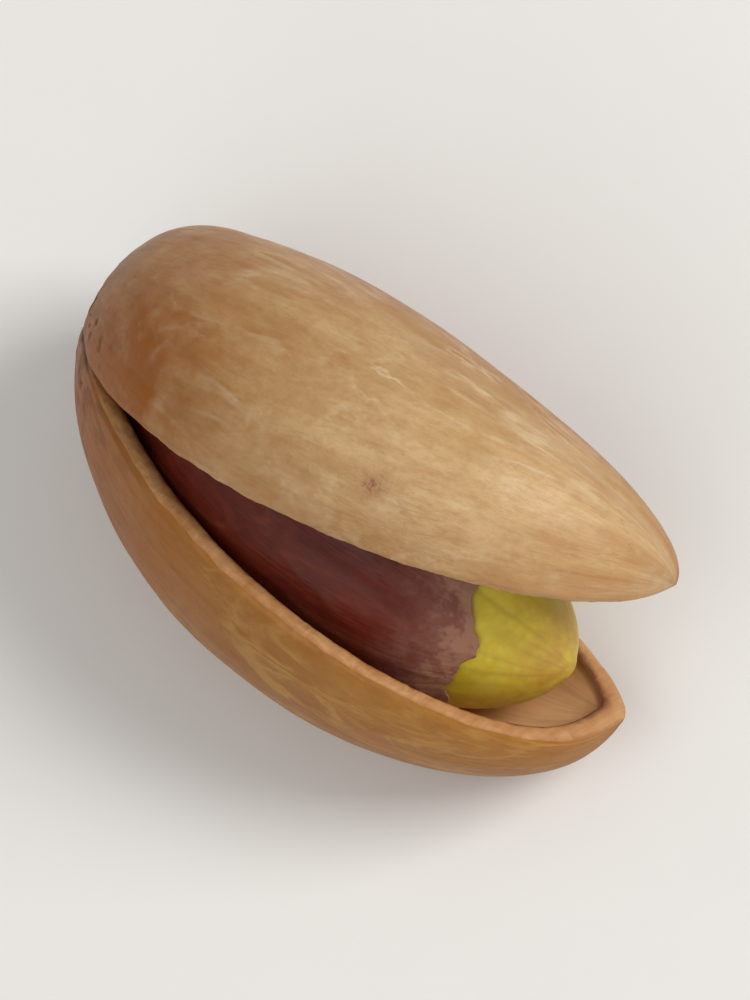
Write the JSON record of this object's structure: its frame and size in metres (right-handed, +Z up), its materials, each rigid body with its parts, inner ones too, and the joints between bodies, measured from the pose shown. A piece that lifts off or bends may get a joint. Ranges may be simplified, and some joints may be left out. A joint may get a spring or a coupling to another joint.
{
  "type": "pistachio in shell",
  "caption": "Roasted pistachio lying on its side, its pale hard shell gaping toward the tip, the seed inside in a maroon skin torn open at the green tip.",
  "frame": {"origin": "middle of the footprint, on the surface the nut lies on", "axes": "+X along the nut from the stem end to the tip, +Z up, the wide side of the split facing -Y and up"},
  "size_m": [0.021, 0.012, 0.0117],
  "materials": {
    "shell_wood": "satin",
    "seed_flesh": "satin",
    "seed_skin": "satin"
  },
  "bodies": {
    "root": {"shell": "shell_wood", "kernel": "seed_flesh", "seed_coat": "seed_skin"}
  },
  "joints": []
}
